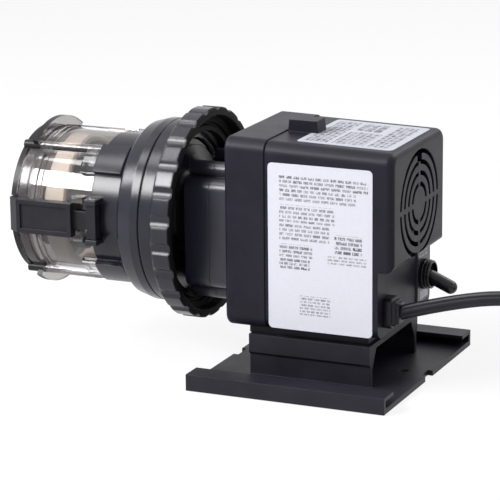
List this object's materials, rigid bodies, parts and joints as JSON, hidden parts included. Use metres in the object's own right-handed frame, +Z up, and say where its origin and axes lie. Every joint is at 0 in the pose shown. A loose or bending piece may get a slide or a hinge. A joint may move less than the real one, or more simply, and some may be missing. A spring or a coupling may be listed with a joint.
{
  "type": "peristaltic metering pump",
  "caption": "Peristaltic chemical injection pump: clear latched roller head, scalloped feed-rate dial, gear case, motor housing with vent grille, toggle switch and cord on a railed bracket.",
  "frame": {"origin": "centre of the bracket's underside, on the surface it stands on", "axes": "+X along the pump shaft from the clear pump head to the motor's vent grille; +Z up; -Y is the label side"},
  "size_m": [0.4425, 0.1705, 0.1444],
  "materials": {
    "black_housing": "satin",
    "black_head": "satin",
    "clear_plastic": "gloss",
    "squeeze_tube": "satin",
    "steel": "satin",
    "strap_steel": "satin",
    "laminations": "satin",
    "winding": "satin",
    "bronze": "satin",
    "gear_plastic": "satin",
    "roller_plastic": "satin",
    "fitting_plastic": "satin",
    "switch_black": "satin",
    "legend_metal": "satin",
    "cord_black": "satin",
    "blade_brass": "satin"
  },
  "bodies": {
    "pump_body": {"mounting_bracket": "black_housing", "bracket_screws": "steel", "front_frame": "black_housing", "motor_shell": "black_housing", "stator_laminations": "laminations", "motor_coil": "winding", "front_bearing_strap": "strap_steel", "rear_bearing_strap": "strap_steel", "front_motor_bearing": "bronze", "rear_motor_bearing": "bronze", "motor_bolts": "steel", "gear_pins": "steel", "gear_case_rear": "black_housing", "gear_case_front": "black_housing", "gear_case_screws": "steel", "gear_case_bushing": "bronze", "head_bushing": "bronze", "feed_rate_housing": "black_head", "head_plate": "black_head", "fixed_cam": "gear_plastic", "tube_housing": "black_head", "clear_cover": "clear_plastic", "cover_bushing": "bronze", "pump_tube": "squeeze_tube", "discharge_fitting": "fitting_plastic", "discharge_nut": "fitting_plastic", "suction_fitting": "fitting_plastic", "suction_nut": "fitting_plastic", "near_latch_pin": "steel", "far_latch_pin": "steel", "toggle_switch_body": "switch_black", "switch_plate": "legend_metal", "toggle_boot": "switch_black", "strain_relief": "cord_black", "power_cord": "cord_black", "cord_tail": "cord_black", "cord_coil": "cord_black", "plug_body": "cord_black", "plug_blades": "blade_brass"},
    "motor_rotor": {"rotor": "laminations", "motor_shaft": "steel", "motor_pinion": "steel", "cooling_fan": "gear_plastic"},
    "first_gear": {"first_reduction_gear": "gear_plastic"},
    "second_gear": {"second_reduction_gear": "gear_plastic"},
    "pump_rotor": {"output_gear": "gear_plastic", "main_shaft": "steel", "roller_spider": "roller_plastic", "roller_axles": "steel", "index_plate": "gear_plastic", "index_pin": "steel", "lifter": "gear_plastic"},
    "pump_roller_1": {"roller_1": "roller_plastic"},
    "pump_roller_2": {"roller_2": "roller_plastic"},
    "pump_roller_3": {"roller_3": "roller_plastic"},
    "feed_dial": {"dial_ring": "black_head", "variable_cam": "gear_plastic"},
    "latch_near": {"near_latch": "black_head"},
    "latch_far": {"far_latch": "black_head"},
    "switch_lever": {"toggle_lever": "switch_black"}
  },
  "joints": [
    {"name": "main_shaft_spin", "type": "hinge", "parent": "pump_body", "child": "pump_rotor", "pos_m": [-0.1, 0, 0.084], "axis": [1, 0, 0], "continuous": true},
    {"name": "second_gear_spin", "type": "hinge", "parent": "pump_body", "child": "second_gear", "pos_m": [-0.06, 0.012, 0.06556], "axis": [1, 0, 0], "continuous": true},
    {"name": "first_gear_spin", "type": "hinge", "parent": "pump_body", "child": "first_gear", "pos_m": [-0.055, -0.00051, 0.07851], "axis": [1, 0, 0], "continuous": true},
    {"name": "motor_spin", "type": "hinge", "parent": "pump_body", "child": "motor_rotor", "pos_m": [0, 0, 0.1005], "axis": [1, 0, 0], "continuous": true},
    {"name": "roller_1_spin", "type": "hinge", "parent": "pump_rotor", "child": "pump_roller_1", "pos_m": [-0.1545, 0, 0.1077], "axis": [1, 0, 0], "continuous": true},
    {"name": "roller_2_spin", "type": "hinge", "parent": "pump_rotor", "child": "pump_roller_2", "pos_m": [-0.1545, -0.02052, 0.07215], "axis": [1, 0, 0], "continuous": true},
    {"name": "roller_3_spin", "type": "hinge", "parent": "pump_rotor", "child": "pump_roller_3", "pos_m": [-0.1545, 0.02052, 0.07215], "axis": [1, 0, 0], "continuous": true},
    {"name": "dial_turn", "type": "hinge", "parent": "pump_body", "child": "feed_dial", "pos_m": [-0.08, 0, 0.084], "axis": [1, 0, 0], "range_deg": [0, 170]},
    {"name": "near_latch_open", "type": "hinge", "parent": "pump_body", "child": "latch_near", "pos_m": [-0.1265, -0.0458, 0.084], "axis": [0, 0, 1], "range_deg": [0, 90]},
    {"name": "far_latch_open", "type": "hinge", "parent": "pump_body", "child": "latch_far", "pos_m": [-0.1265, 0.0458, 0.084], "axis": [0, 0, -1], "range_deg": [0, 90]},
    {"name": "switch_flip", "type": "hinge", "parent": "pump_body", "child": "switch_lever", "pos_m": [0.046, 0.028, 0.0525], "axis": [0, -1, 0], "range_deg": [0, 46]}
  ],
  "couplings": [
    {"joint": "second_gear_spin", "follows": "main_shaft_spin", "ratio": -3},
    {"joint": "first_gear_spin", "follows": "main_shaft_spin", "ratio": 9},
    {"joint": "motor_spin", "follows": "main_shaft_spin", "ratio": -40.5},
    {"joint": "roller_1_spin", "follows": "main_shaft_spin", "ratio": -3.3301},
    {"joint": "roller_2_spin", "follows": "main_shaft_spin", "ratio": -3.3301},
    {"joint": "roller_3_spin", "follows": "main_shaft_spin", "ratio": -3.3301}
  ]
}
